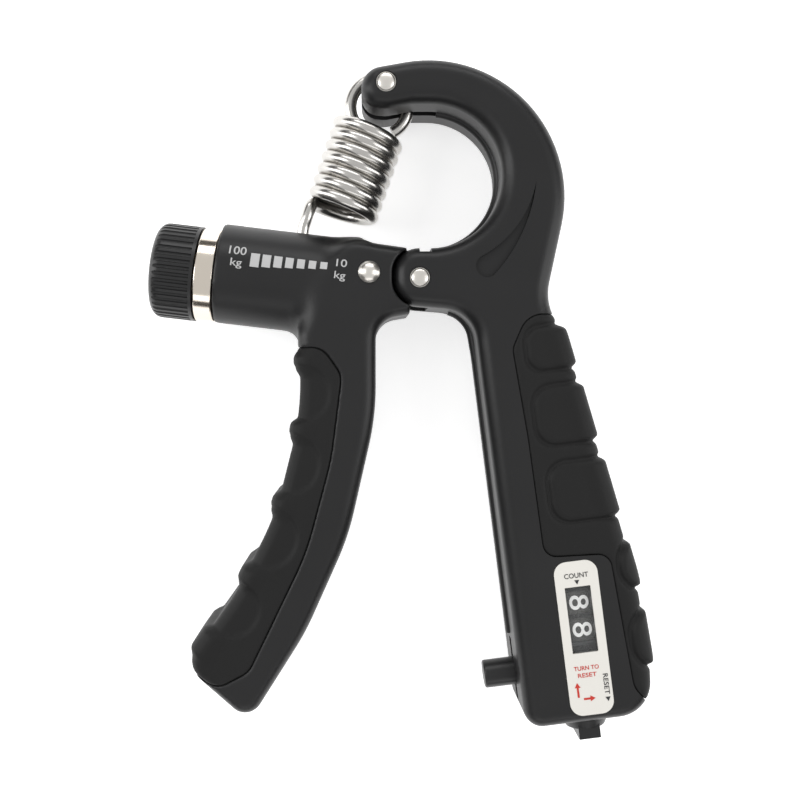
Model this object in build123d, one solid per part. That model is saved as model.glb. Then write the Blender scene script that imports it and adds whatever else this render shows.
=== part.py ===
"""Adjustable hand-grip strengthener with a stroke counter, lying on its back.

The origin is on the axis of the main pivot, on the plane the grip lies on.  X runs to the
right, Y towards the hook and Z up through the thickness.  All sizes are in millimetres.
"""
import os
from math import cos, hypot, pi, radians, sin

from build123d import *

os.makedirs("parts", exist_ok=True)

# ---- Overall sizes and clearances -----------------------------------------------------
THICK = 24.0            # thickness of both handles
MID = THICK / 2         # the plane on which both casings split
WALL = 2.2              # wall of the moulded shells
RUBBER = 1.8            # thickness of the overmoulded grips
EDGE_ROUND = 3.4        # rounding along the outer edges of both handles
RUN_FIT = 0.05          # gap on the radius of a running fit
SEAT = 0.02             # gap on the radius of a piece pressed or glued in place
PASS_GAP = 0.3          # gap between pieces that pass each other

# ---- Main handle ----------------------------------------------------------------------
HANDLE_TILT = 7.2       # lean of the main handle, degrees from Y
HANDLE_LEFT = 15.1      # inner side of the handle, from the counter's axle
HANDLE_BASE = 23.7      # base of the handle, below the middle of the counter window
RING_OUT_R = 30.9       # outside of the hook ring
RING_OUT_X, RING_OUT_Y = 2.05, 18.6
RING_IN_R = 16.4        # finger gap inside the ring
RING_IN_X, RING_IN_Y = 2.4, 23.3
EAR_R = 6.0             # ears of the handle round the main pivot
EAR_THICK = 6.0         # thickness of each ear
HOOK_PIN_X, HOOK_PIN_Y = -7.6, 44.0

# ---- Lever ----------------------------------------------------------------------------
ARM_TILT = -6.8         # lean of the arm barrel, degrees from X
ARM_DROP = 4.33         # distance of the arm's axis below the main pivot
ARM_R = 11.65           # outside of the arm barrel
ARM_RISE = 0.8          # the barrel's middle stands this far above the lead screw
ARM_END = 46.5          # outer end of the barrel, along its axis from the pivot
ARM_BORE_R = 8.5        # bore in which the carriage slides

# ---- Pins and fasteners ---------------------------------------------------------------
PIVOT_R = 2.0
PIVOT_HEAD_R = 2.2
BUSH_R = 3.5
PIN_R = 1.5
DOME_R = 2.45
DOME_H = 1.2
HEAD_H = 0.9
HEAD_SINK = 0.5
WASHER_T = 0.45
SCREW_R = 1.2
SCREW_HEAD_R = 2.1
SCREW_HEAD_H = 1.6
SCREW_SINK = 3.0
SCREW_LENGTH = 15.0
BOSS_R = 3.0

# ---- Tension screw, carriage and knob, along the arm's axis from the pivot ------------
LEAD_R = 2.5
LEAD_COLLAR_R = 4.0
LEAD_NECK_R = 2.6
LEAD_END = 8.2
CARRIAGE_AT = 28.2      # rest place of the carriage
CARRIAGE_LONG = 8.0
CARRIAGE_TRAVEL = 9.0   # each way from rest
ANCHOR_UP = 5.2         # cross hole of the spring foot above the lead screw
NUT_R = 3.6
RING_WIDE = 4.4
TRIM_R = 10.9
KNOB_R = 11.1
KNOB_WIDE = 10.2
KNOB_ROUND = 2.4
KNOB_RIBS = 44
RIB_CUT_R = 0.45
THRUST_R = 7.0
CAP_R = 4.5
CAP_T = 1.0

# ---- Tension spring -------------------------------------------------------------------
WIRE_R = 1.45
COIL_R = 7.4
COIL_PITCH = 3.0
COIL_TURNS = 7
LOOP_R = 6.8
COIL_TOP_X, COIL_TOP_Y = -11.1, 36.6
COIL_LEAN = 18.8
FOOT_HALF = 4.8         # half length of the cross bar at the spring's foot
HOOK_BUSH_R = 2.2

# ---- Counter, in its own frame: x across the handle, y along it, z as the part --------
COUNTER_X, COUNTER_Y = 36.15, -76.7
WHEEL_R = 8.8
WHEEL_WIDE = 5.0
WHEEL_AT = 3.1          # middle of each number wheel from the middle of the window
AXLE_R = 1.5
HUB_R = 3.0
RATCHET_R = 6.8
RATCHET_ROOT = 5.2
RATCHET_T = 3.0
RATCHET_TEETH = 10
BUTTON_AT = -13.1       # button and ratchet along the axle
BUTTON_R = 3.2
BUTTON_OUT = 7.3        # how far the button stands out of the wall
BUTTON_TRAVEL = 4.0
PAWL_TIP = -3.8         # tip of the pawl at rest, just outside the ratchet's tips
PAWL_LOW = 5.95
FLANGE_R = 4.2
FLANGE_T = 1.0
GEAR_TEETH = 20
PINION_TEETH = 6
PINION_AT = 9.8         # pinion shaft beside the axle
TOOTH_OUT = 0.3
TOOTH_IN = 0.55
PINION_SHAFT_R = 0.6
PLATE_T = 0.8
FRAME_TOP = 7.4
FRAME_MID = -7.7
FRAME_LOW = -16.7
WINDOW_WIDE, WINDOW_LONG = 5.8, 14.9
LABEL_WIDE, LABEL_LONG = 9.8, 34.6
LABEL_DOWN = 4.1        # middle of the label below the middle of the window
LABEL_T = 0.5
LABEL_SINK = 0.35
RESET_R = 6.3
RESET_LONG = 3.4        # length of the knob's cone
RESET_OUT = 6.0         # how far its finger bar stands out of the base
RESET_STEM_R = 2.4

counter = Pos(COUNTER_X, COUNTER_Y, MID) * Rot(0, 0, HANDLE_TILT)
arm = Rot(0, 0, ARM_TILT) * Pos(0, -ARM_DROP, MID)


# ---- Helpers --------------------------------------------------------------------------
def outline(corners):
    """Face inside a closed run of straight lines whose corners (x, y, r) are rounded."""
    points = [(x, y) for x, y, r in corners]
    return make_face(FilletPolyline(*points, radius=[r for x, y, r in corners], close=True))


def slab(face, low, high):
    """Solid of a flat face between two heights."""
    return Pos(0, 0, low) * extrude(face, high - low)


def rod(radius, start, end, at=(0, 0)):
    """Cylinder along Z between two heights."""
    return Pos(at[0], at[1], (start + end) / 2) * Cylinder(radius, end - start)


def bar_x(radius, start, end, y=0.0, z=0.0):
    """Cylinder along X between two places."""
    return Pos((start + end) / 2, y, z) * Rot(0, 90, 0) * Cylinder(radius, end - start)


def bar_y(radius, start, end, x=0.0, z=0.0):
    """Cylinder along Y between two places."""
    return Pos(x, (start + end) / 2, z) * Rot(90, 0, 0) * Cylinder(radius, end - start)


def block(x0, x1, y0, y1, z0, z1):
    """Box between its six sides."""
    return Pos((x0 + x1) / 2, (y0 + y1) / 2, (z0 + z1) / 2) * Box(x1 - x0, y1 - y0, z1 - z0)


def round_corners(cx, cy, radius, start, end, count):
    """Corners round a circle's tangent polygon, so that the outline follows the circle."""
    half = (end - start) / count / 2
    reach = radius / cos(radians(half))
    corners = []
    for index in range(count):
        angle = radians(start + half * (2 * index + 1))
        corners.append((cx + reach * cos(angle), cy + reach * sin(angle), radius * 0.995))
    return corners


def in_counter(x, y, r):
    """Corner given in the counter's frame, in the part's frame."""
    turn = radians(HANDLE_TILT)
    return (COUNTER_X + x * cos(turn) - y * sin(turn), COUNTER_Y + x * sin(turn) + y * cos(turn), r)


def arm_point(x, y):
    """Place given along and across the arm, in the part's frame."""
    turn = radians(ARM_TILT)
    y -= ARM_DROP
    return (x * cos(turn) - y * sin(turn), x * sin(turn) + y * cos(turn))


# ---- Outlines -------------------------------------------------------------------------
EAR_TOP = RING_IN_Y - RING_IN_R
ear_low = (-EAR_R, -5.9, EAR_R)
handle_corners = [
    (-13.2, 39.0, 4.2),
    (-13.2, 47.3, 5.0),
    *round_corners(RING_OUT_X, RING_OUT_Y, RING_OUT_R, 100, -12.5, 3),
    (28.4, -6.0, 12.0),
    (32.6, -12.0, 8.0),
    (49.0, -67.5, 50.0),
    (52.2, -86.0, 40.0),
    in_counter(13.7, -HANDLE_BASE, 8.0),
    in_counter(-HANDLE_LEFT, -HANDLE_BASE, 4.2),
    in_counter(-HANDLE_LEFT, 71.8, 8.0),
    ear_low,
    (-EAR_R, EAR_TOP, EAR_R - 0.1),
    *round_corners(RING_IN_X, RING_IN_Y, RING_IN_R, -90, 90, 4),
    (-1.5, RING_IN_Y + RING_IN_R, 5.0),
    (-7.5, 38.6, 6.0),
]
lever_corners = [
    (3.5, -7.2, 4.0),
    (3.5, 5.4, 4.0),
    (-3.0, 7.0, 4.0),
    (-17.0, 9.0, 5.0),
    (-27.6, -12.4, 5.0),
    (-27.6, -31.0, 60.0),
    (-33.2, -53.4, 60.0),
    (-42.0, -71.0, 40.0),
    (-53.7, -87.5, 6.0),
    (-38.6, -100.6, 4.0),
    (-25.8, -80.3, 60.0),
    (-16.1, -58.6, 60.0),
    (-9.9, -31.2, 60.0),
    (-9.9, -9.4, 5.5),
]
handle_grip_corners = [
    (62.0, -8.1, 1.0),
    (24.0, -8.1, 5.5),
    (20.6, -16.0, 4.0),
    (24.1, -36.0, 60.0),
    (27.8, -62.9, 3.2),
    (42.4, -62.1, 3.0),
    (47.9, -92.0, 5.0),
    (52.5, -97.0, 2.0),
    (62.0, -97.0, 1.0),
]
lever_grip_corners = [
    (-60.0, -15.7, 1.0),
    (-22.0, -15.7, 5.0),
    (-17.6, -22.0, 5.0),
    (-20.0, -41.0, 60.0),
    (-25.6, -62.0, 60.0),
    (-38.4, -88.6, 5.0),
    (-46.0, -92.6, 5.0),
    (-62.0, -82.0, 1.0),
]


# ---- Casings --------------------------------------------------------------------------
def rounded_slab(corners, radius):
    """Handle-shaped solid over the full thickness, rounded along both faces."""
    body = slab(outline(corners), 0, THICK)
    rims = body.edges().group_by(Axis.Z)
    return fillet(rims[0] + rims[-1], radius)


def core_of(corners):
    """Space left for the moulded core under a rubber grip."""
    core = offset(outline(corners), amount=-RUBBER)
    return slab(core, RUBBER, THICK - RUBBER)


def screw_holes(places):
    """Clearance holes for the case screws, with their counterbores in the back."""
    holes = []
    for place in places:
        holes.append(rod(SCREW_R + RUN_FIT, SCREW_SINK - 1, SCREW_SINK + SCREW_LENGTH, place))
        holes.append(rod(SCREW_HEAD_R + RUN_FIT, -1, SCREW_SINK, place))
    return holes


def case_screws(places):
    """Pan-head case screws, driven from the back and sunk below it."""
    screws = []
    for place in places:
        shank = rod(SCREW_R, SCREW_SINK, SCREW_SINK + SCREW_LENGTH - 1, place)
        head = rod(SCREW_HEAD_R, SCREW_SINK - SCREW_HEAD_H, SCREW_SINK, place)
        slot = Pos(place[0], place[1], SCREW_SINK - SCREW_HEAD_H) * Box(2.4, 0.6, 1.0)
        cross = Pos(place[0], place[1], SCREW_SINK - SCREW_HEAD_H) * Box(0.6, 2.4, 1.0)
        screws.append(shank + head - slot - cross)
    return screws


def sunk_pin(place, shaft_r, head_r):
    """Rivet through the full thickness, its two flat heads sunk just below the faces."""
    low = HEAD_SINK
    high = THICK - HEAD_SINK
    pin = rod(shaft_r, low, high, place)
    pin += rod(head_r, low, low + HEAD_H, place)
    return pin + rod(head_r, high - HEAD_H, high, place)


def pin_hole(place, shaft_r, head_r):
    """Hole for a rivet with sunk heads."""
    hole = rod(shaft_r + RUN_FIT, -1, THICK + 1, place)
    hole += rod(head_r + 0.2, -1, HEAD_SINK + HEAD_H, place)
    return hole + rod(head_r + 0.2, THICK - HEAD_SINK - HEAD_H, THICK + 1, place)


pivot = (0, 0)
hook_pin = (HOOK_PIN_X, HOOK_PIN_Y)
retainer = arm_point(-11.5, LEAD_NECK_R + PIN_R + 0.1)
foot = arm_point(-CARRIAGE_AT, ANCHOR_UP)
pull = hypot(foot[0] - HOOK_PIN_X, foot[1] - HOOK_PIN_Y)
pull_x = (foot[0] - HOOK_PIN_X) / pull
pull_y = (foot[1] - HOOK_PIN_Y) / pull
loop_drop = LOOP_R - WIRE_R - HOOK_BUSH_R - SEAT
loop_centre = (HOOK_PIN_X + pull_x * loop_drop, HOOK_PIN_Y + pull_y * loop_drop)

handle_screw_places = [
    (13.5, 43.4),
    (24.6, -2.0),
    in_counter(-9.4, 44.0, 0)[:2],
    in_counter(-9.4, 14.6, 0)[:2],
    in_counter(-9.4, 3.1 - HANDLE_BASE, 0)[:2],
    in_counter(8.4, 3.1 - HANDLE_BASE, 0)[:2],
]
lever_screw_places = [(-15.5, -13.5), (-18.2, -48.0), (-33.2, -86.4)]

print("making the handle casing")
handle_body = rounded_slab(handle_corners, EDGE_ROUND)
handle_region = slab(outline(handle_grip_corners), -1, THICK + 1)
handle_core = core_of(handle_corners)
palm_grip = handle_body & handle_region
palm_grip -= handle_core
handle_shell = handle_body - palm_grip

cavity = slab(
    make_face(Polyline(
        (-HANDLE_LEFT + WALL, -HANDLE_BASE + WALL), (11.0, -HANDLE_BASE + WALL), (11.4, -6),
        (10.8, 9), (6.0, 36), (2.6, 52), (-HANDLE_LEFT + WALL, 52), close=True)),
    WALL - MID, MID - WALL)
cavity = counter * cavity
ring_slot = Pos(RING_OUT_X, RING_OUT_Y, MID) * (
    Cylinder(RING_OUT_R - 4.2, THICK - 2 * WALL) - Cylinder(RING_OUT_R - 7.4, THICK))
ring_slot &= Pos(RING_OUT_X + 40, RING_OUT_Y + 8, MID) * Box(80, 26, THICK)
for place in handle_screw_places:
    cavity -= rod(BOSS_R, 0, THICK, place)

tongue_room = rod(EAR_R + PASS_GAP, EAR_THICK, THICK - EAR_THICK)
tongue_room += block(-9, 0, -8, 8.2, EAR_THICK, THICK - EAR_THICK)
tongue_room += Rot(0, 0, 14) * block(-9, 0.5, -9, 0, EAR_THICK, THICK - EAR_THICK)
loop_room = rod(LOOP_R + WIRE_R + PASS_GAP, MID - WIRE_R - PASS_GAP, MID + WIRE_R + PASS_GAP,
                loop_centre)
loop_room += block(-16, 5.8, 37, 43.2, MID - WIRE_R - PASS_GAP, MID + WIRE_R + PASS_GAP)
top_notch = block(0, 2.7, EAR_TOP - 1.0, EAR_TOP + 2, -1, THICK + 1)

teardrop = make_face(
    ThreePointArc((26.1, 21.8), (20.3, 9.8), (13.7, 4.7))
    + ThreePointArc((13.7, 4.7), (13.0, 1.1), (16.6, 0.5))
    + ThreePointArc((16.6, 0.5), (22.4, 8.9), (26.1, 21.8)))
grooves = slab(teardrop, THICK - 1.0, THICK + 1)
grooves += slab(teardrop, -1, 1.0)

window = Pos(0, 0, MID) * Box(WINDOW_WIDE, WINDOW_LONG, 8)
label_bed = Pos(0, -LABEL_DOWN, 0) * extrude(
    RectangleRounded(LABEL_WIDE + 0.1, LABEL_LONG + 0.1, 2.9), MID + 1)
label_bed -= Pos(0, 0, -1) * block(-20, 20, -40, 40, 0, MID - LABEL_SINK + 1)
button_hole = bar_x(BUTTON_R + RUN_FIT, -HANDLE_LEFT - 1, -HANDLE_LEFT + WALL + 1, BUTTON_AT)
button_groove = block(-HANDLE_LEFT - 1, -HANDLE_LEFT + 1.0, BUTTON_AT - 7.2, BUTTON_AT + 8, -1.4, 1.4)
reset_hole = bar_y(RESET_STEM_R + RUN_FIT, -HANDLE_BASE - 1, -HANDLE_BASE + WALL + 1)

cuts = [cavity, ring_slot, tongue_room, loop_room, top_notch, grooves, counter * window,
        counter * label_bed, counter * button_hole, counter * button_groove,
        counter * reset_hole, pin_hole(pivot, PIVOT_R, PIVOT_HEAD_R),
        pin_hole(hook_pin, PIN_R, PIVOT_HEAD_R)]
cuts += screw_holes(handle_screw_places)
for cut in cuts:
    handle_shell -= cut
front_half = block(-80, 80, -130, 80, MID, THICK + 5)
rear_half = block(-80, 80, -130, 80, -5, MID)
parts = {}
parts["handle_front_shell"] = handle_shell & front_half
parts["handle_rear_shell"] = handle_shell & rear_half
parts["handle_palm_grip"] = palm_grip
parts["handle_screws"] = case_screws(handle_screw_places)

print("making the lever casing")
ear_gap = offset(outline(handle_corners), amount=PASS_GAP)
lever_body = rounded_slab(lever_corners, EDGE_ROUND)
lever_region = slab(outline(lever_grip_corners), -1, THICK + 1)
finger_grip = (lever_body & lever_region) - core_of(lever_corners)
lever_shell = lever_body - finger_grip
lever_shell += arm * bar_x(ARM_R, -ARM_END, -15, ARM_RISE)
finger_grip -= arm * bar_x(ARM_R, -ARM_END, -10, ARM_RISE)
ear_sweep = slab(ear_gap, -1, EAR_THICK + PASS_GAP + WASHER_T - 0.25)
ear_sweep += slab(ear_gap, THICK - EAR_THICK - PASS_GAP - WASHER_T + 0.25, THICK + 1)
neck_trim = block(-2.2, 10, -20, 10, -1, THICK + 1) - rod(EAR_R - 0.4, 0, THICK)
leg_room = slab(
    make_face(Polyline(
        (-23.4, -17.0), (-12.3, -17.0), (-12.3, -31.0), (-18.4, -58.0), (-27.9, -79.6),
        (-37.2, -94.0), (-46.6, -86.4), (-38.0, -70.6), (-29.0, -52.2), (-23.6, -31.0),
        close=True)),
    WALL, THICK - WALL)
for place in lever_screw_places:
    leg_room -= rod(BOSS_R, 0, THICK, place)
carriage_bore = bar_x(ARM_BORE_R, -ARM_END + 2.5, -15.0)
lead_bore = bar_x(LEAD_R + RUN_FIT, -ARM_END - 1, -15.0)
collar_bore = bar_x(LEAD_COLLAR_R + RUN_FIT, -15.1, -LEAD_END + 0.2)
spring_slot = block(-CARRIAGE_AT - CARRIAGE_TRAVEL - 3, -16.6, 3, 14,
                    -WIRE_R - PASS_GAP, WIRE_R + PASS_GAP)
trim_seat = bar_x(TRIM_R + 3, -ARM_END - 3, -ARM_END)
cuts = [ear_sweep, neck_trim, leg_room, arm * carriage_bore, arm * lead_bore,
        arm * collar_bore, arm * spring_slot, arm * trim_seat, rod(BUSH_R + SEAT, 0, THICK),
        rod(PIN_R + RUN_FIT, -1, THICK + 1, retainer),
        rod(PIVOT_HEAD_R + 0.2, -1, HEAD_SINK + HEAD_H, retainer)]
cuts += screw_holes(lever_screw_places)
for cut in cuts:
    lever_shell -= cut
parts["lever_front_shell"] = lever_shell & front_half
parts["lever_rear_shell"] = lever_shell & rear_half
parts["lever_finger_grip"] = finger_grip
parts["lever_screws"] = case_screws(lever_screw_places)


# ---- Pins, bushes and washers ---------------------------------------------------------
parts["pivot_pin"] = sunk_pin(pivot, PIVOT_R, PIVOT_HEAD_R)
tongue_low = EAR_THICK + WASHER_T + RUN_FIT
parts["pivot_bush"] = rod(BUSH_R, tongue_low, THICK - tongue_low) - rod(PIVOT_R + RUN_FIT, 0, THICK)
washer = rod(5.2, EAR_THICK, EAR_THICK + WASHER_T) - rod(PIVOT_R + RUN_FIT, 0, THICK)
parts["pivot_washers"] = [washer, Pos(0, 0, THICK - 2 * EAR_THICK - WASHER_T) * washer]
parts["spring_pin"] = sunk_pin(hook_pin, PIN_R, PIVOT_HEAD_R)
bush = rod(HOOK_BUSH_R, MID - WIRE_R - 0.2, MID + WIRE_R + 0.2, hook_pin)
parts["spring_bush"] = bush - rod(PIN_R + RUN_FIT, 0, THICK, hook_pin)
dome_ball_r = (DOME_R ** 2 + DOME_H ** 2) / (2 * DOME_H)
dome = Pos(retainer[0], retainer[1], THICK + DOME_H - dome_ball_r) * Sphere(dome_ball_r)
dome &= rod(DOME_R + 1, THICK, THICK + 3, retainer)
retaining_pin = rod(PIN_R, HEAD_SINK, THICK, retainer) + dome
parts["retaining_pin"] = retaining_pin + rod(PIVOT_HEAD_R, HEAD_SINK, HEAD_SINK + HEAD_H, retainer)


# ---- Tension screw, carriage and knob -------------------------------------------------
knob_face = ARM_END + RING_WIDE + 0.15
knob_end = knob_face + KNOB_WIDE
lead = bar_x(LEAD_R, -knob_end + CAP_T + 1.2, -LEAD_END)
lead += bar_x(LEAD_COLLAR_R, -14.8, -LEAD_END)
lead += bar_x(LEAD_COLLAR_R, -ARM_END + 2.6, -ARM_END + 4.2)
neck_cut = bar_x(LEAD_COLLAR_R + 1, -11.5 - PIN_R - 0.2, -11.5 + PIN_R + 0.2)
lead -= neck_cut - bar_x(LEAD_NECK_R, -20, 0)
parts["lead_screw"] = arm * lead
carriage = bar_x(ARM_BORE_R - 0.1, -CARRIAGE_AT - CARRIAGE_LONG / 2, -CARRIAGE_AT + CARRIAGE_LONG / 2)
carriage -= block(-knob_end, 0, -10, -6.4, -10, 10)
carriage -= bar_x(NUT_R + SEAT, -knob_end, 0)
carriage -= rod(WIRE_R + 0.1, -10, 10, (-CARRIAGE_AT, ANCHOR_UP))
carriage -= block(-knob_end, 0, ANCHOR_UP - WIRE_R - 0.2, 12, -WIRE_R - 0.2, WIRE_R + 0.2)
parts["spring_carriage"] = arm * carriage
nut = bar_x(NUT_R, -CARRIAGE_AT - CARRIAGE_LONG / 2, -CARRIAGE_AT + CARRIAGE_LONG / 2)
parts["carriage_nut"] = arm * (nut - bar_x(LEAD_R + RUN_FIT, -knob_end, 0))
trim = bar_x(TRIM_R, -ARM_END - RING_WIDE, -ARM_END)
trim -= bar_x(LEAD_R + RUN_FIT + 0.4, -knob_end, 0)
trim -= bar_x(THRUST_R + 0.2, -knob_end, -ARM_END - RING_WIDE + 0.8)
trim_rims = trim.edges().filter_by(GeomType.CIRCLE).group_by(lambda edge: edge.radius)[-1]
parts["trim_ring"] = arm * fillet(trim_rims, 0.4)
thrust = bar_x(THRUST_R, -knob_face, -ARM_END - RING_WIDE + 0.8) - bar_x(LEAD_R + RUN_FIT, -knob_end, 0)
parts["thrust_washer"] = arm * thrust
knob = bar_x(KNOB_R, -knob_end, -knob_face - 0.05)
outer_rim = knob.edges().filter_by(GeomType.CIRCLE).sort_by(Axis.X)[0]
knob = fillet(outer_rim, KNOB_ROUND)
for index in range(KNOB_RIBS):
    turn = 2 * pi * index / KNOB_RIBS
    knob -= bar_x(RIB_CUT_R, -knob_end - 1, -knob_face - 0.8, KNOB_R * cos(turn), KNOB_R * sin(turn))
knob -= bar_x(LEAD_R + SEAT, -knob_end - 1, 0)
knob -= bar_x(CAP_R + SEAT, -knob_end - 1, -knob_end + CAP_T)
parts["tension_knob"] = arm * knob
parts["knob_cap"] = arm * bar_x(CAP_R, -knob_end, -knob_end + CAP_T)


# ---- Tension spring -------------------------------------------------------------------
print("making the spring")
coil_lean = radians(COIL_LEAN)
coil_long = COIL_PITCH * COIL_TURNS
coil_bottom = (COIL_TOP_X - coil_long * sin(coil_lean), COIL_TOP_Y - coil_long * cos(coil_lean))
coil_frame = Plane(origin=(coil_bottom[0], coil_bottom[1], MID),
                   x_dir=(-cos(coil_lean), sin(coil_lean), 0),
                   z_dir=(sin(coil_lean), cos(coil_lean), 0))
helix = Helix(COIL_PITCH, coil_long, COIL_R)
section = Plane(origin=helix @ 0, z_dir=helix % 0) * Circle(WIRE_R)
coil = coil_frame * sweep(section, path=helix, is_frenet=True)
loop = Pos(loop_centre[0], loop_centre[1], MID) * Torus(LOOP_R, WIRE_R)
parts["tension_spring"] = coil + loop
leg_top = (coil_bottom[0] - COIL_R * cos(coil_lean), coil_bottom[1] + COIL_R * sin(coil_lean))
leg_knee = arm_point(-CARRIAGE_AT, ANCHOR_UP + 9.0)
leg_path = FilletPolyline(
    (leg_top[0] - 0.4, leg_top[1] - WIRE_R - 0.15, MID),
    (leg_top[0] - 1.0, leg_top[1] - 3.9, MID),
    (leg_knee[0], leg_knee[1], MID), (foot[0], foot[1], MID), radius=2.0)
leg_section = Plane(origin=leg_path @ 0, z_dir=leg_path % 0) * Circle(WIRE_R)
leg = sweep(leg_section, path=leg_path)
leg += rod(WIRE_R, MID - FOOT_HALF, MID + FOOT_HALF, foot)
parts["spring_leg"] = leg


# ---- Counter --------------------------------------------------------------------------
print("making the counter")


def toothed(count, root, tip, thick, width):
    """Toothed wheel about Z with narrow teeth of a given share of the pitch."""
    wheel = Cylinder(root, thick)
    for index in range(count):
        middle = 2 * pi * index / count
        half = pi / count * width
        points = []
        for radius, turn in ((root - 0.3, -half), (tip, -half * 0.7), (tip, half * 0.7), (root - 0.3, half)):
            points.append((radius * cos(middle + turn), radius * sin(middle + turn)))
        tooth = make_face(Polyline(*points, close=True))
        wheel += Pos(0, 0, -thick / 2) * extrude(tooth, thick)
    return wheel


def saw_wheel():
    """Ratchet wheel about Z with radial driving faces."""
    points = []
    for index in range(RATCHET_TEETH):
        face = 2 * pi * index / RATCHET_TEETH
        back = 2 * pi * (index + 0.92) / RATCHET_TEETH
        points.append((RATCHET_R * cos(face), RATCHET_R * sin(face)))
        points.append((RATCHET_ROOT * cos(back), RATCHET_ROOT * sin(back)))
        next_face = 2 * pi * (index + 1) / RATCHET_TEETH
        points.append((RATCHET_ROOT * cos(next_face), RATCHET_ROOT * sin(next_face)))
    return Pos(0, 0, -RATCHET_T / 2) * extrude(make_face(Polyline(*points, close=True)), RATCHET_T)


# The wheels are made about Z and turned so that Z lies along the axle, towards the hook,
# and the driving faces of the ratchet look back at the button.
along_axle = Rot(-90, 0, 0)
gear_r = PINION_AT * GEAR_TEETH / (GEAR_TEETH + PINION_TEETH)
pinion_r = PINION_AT - gear_r

frame_low_z = WALL - MID + 0.05
bracket = block(-9, 9, FRAME_LOW, FRAME_TOP + PLATE_T, frame_low_z, frame_low_z + 0.7)
flange_at = -HANDLE_LEFT + WALL + 0.1
low_plate_left = flange_at + FLANGE_T + BUTTON_TRAVEL + PASS_GAP
for low, left, right in ((FRAME_TOP, -12, 8), (FRAME_MID, -12, 8), (FRAME_LOW, low_plate_left, 8)):
    bracket += block(left, right, low, low + PLATE_T, frame_low_z, 5.5)
bracket -= bar_y(AXLE_R + RUN_FIT, -40, 40)
bracket -= bar_y(HUB_R + 0.2, FRAME_MID - 1, FRAME_MID + PLATE_T + 1)
bracket -= bar_y(PINION_SHAFT_R + RUN_FIT, FRAME_MID - 1, 40, -PINION_AT)
parts["counter_frame"] = counter * bracket
axle = bar_y(AXLE_R, -HANDLE_BASE - 0.2, FRAME_TOP + PLATE_T + 1.6)
parts["counter_axle"] = counter * axle
clip = bar_y(2.6, FRAME_TOP + PLATE_T + 0.1, FRAME_TOP + PLATE_T + 0.8)
parts["axle_clip"] = counter * (clip - bar_y(AXLE_R + SEAT, 0, 40))
reset = Pos(0, -HANDLE_BASE - 0.2 - RESET_LONG / 2, 0) * Rot(90, 0, 0) * Cone(RESET_R, 4.6, RESET_LONG)
reset += bar_y(RESET_STEM_R, -HANDLE_BASE - 0.4, -HANDLE_BASE + WALL + 1)
reset += block(-2.5, 2.5, -HANDLE_BASE - RESET_OUT, -HANDLE_BASE - 1.2, -4.4, 4.4)
reset -= bar_y(AXLE_R + SEAT, -HANDLE_BASE - 0.2, 0)
parts["reset_knob"] = counter * reset

rim = bar_y(WHEEL_R, -WHEEL_WIDE / 2, WHEEL_WIDE / 2)
rim -= bar_y(AXLE_R + RUN_FIT, -10, 10)
flange_gear = along_axle * toothed(GEAR_TEETH, gear_r - TOOTH_IN, gear_r + TOOTH_OUT, 0.5, 0.36)
flange_gear = Pos(0, -WHEEL_WIDE / 2 - 0.25, 0) * (flange_gear - bar_y(AXLE_R + RUN_FIT, -10, 10))
parts["tens_wheel"] = counter * Pos(0, WHEEL_AT, 0) * (rim + flange_gear)
units = Pos(0, -WHEEL_AT, 0) * rim
units += bar_y(HUB_R, BUTTON_AT - RATCHET_T / 2, -WHEEL_AT - WHEEL_WIDE / 2 + 0.1)
carry = block(-0.5, 0.5, -WHEEL_AT + WHEEL_WIDE / 2 - 0.1, -0.1, 6.0, 6.9)
units += carry
units -= bar_y(AXLE_R + RUN_FIT, -30, 10)
parts["units_wheel"] = counter * units
saw = Pos(0, BUTTON_AT, 0) * along_axle * Rot(0, 0, -90 - 18) * saw_wheel()
parts["ratchet_wheel"] = counter * (saw - bar_y(HUB_R + SEAT, -30, 10))
pinion = along_axle * toothed(PINION_TEETH, pinion_r - TOOTH_IN, pinion_r + TOOTH_OUT, 1.0, 0.36)
pinion = Rot(0, 180 / PINION_TEETH, 0) * pinion
pinion = Pos(-PINION_AT, 0, 0) * (pinion - bar_y(PINION_SHAFT_R + RUN_FIT, -10, 10))
parts["transfer_pinion"] = counter * pinion
shaft = bar_y(PINION_SHAFT_R, FRAME_MID - 0.3, FRAME_TOP + PLATE_T + 0.3, -PINION_AT)
parts["pinion_shaft"] = counter * shaft

button = bar_x(BUTTON_R, -HANDLE_LEFT - BUTTON_OUT, flange_at + FLANGE_T, BUTTON_AT)
button_rim = button.edges().filter_by(GeomType.CIRCLE).sort_by(Axis.X)[0]
button = fillet(button_rim, 0.5)
button += bar_x(FLANGE_R, flange_at, flange_at + FLANGE_T, BUTTON_AT)
button += block(flange_at, flange_at + FLANGE_T, BUTTON_AT - 1.2, BUTTON_AT + 1.2, 3.0, 8.4)
parts["count_button"] = counter * button
pawl = block(flange_at + FLANGE_T, PAWL_TIP, BUTTON_AT - 1.2, BUTTON_AT + 1.2, 7.6, 8.3)
pawl += block(PAWL_TIP - 1.3, PAWL_TIP, BUTTON_AT - 1.2, BUTTON_AT + 1.2, PAWL_LOW, 8.3)
parts["button_pawl"] = counter * pawl
spring_long = -RATCHET_R - 0.3 - (flange_at + FLANGE_T)
turns = 5
button_helix = Helix(spring_long / turns, spring_long, 2.4)
button_wire = Plane(origin=button_helix @ 0, z_dir=button_helix % 0) * Circle(0.2)
coil_spring = sweep(button_wire, path=button_helix, is_frenet=True)
coil_spring = Pos(flange_at + FLANGE_T + 0.25, BUTTON_AT, 0) * Rot(0, 90, 0) * coil_spring
parts["button_spring"] = counter * coil_spring
lens_top = MID - LABEL_SINK - 0.1
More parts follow.
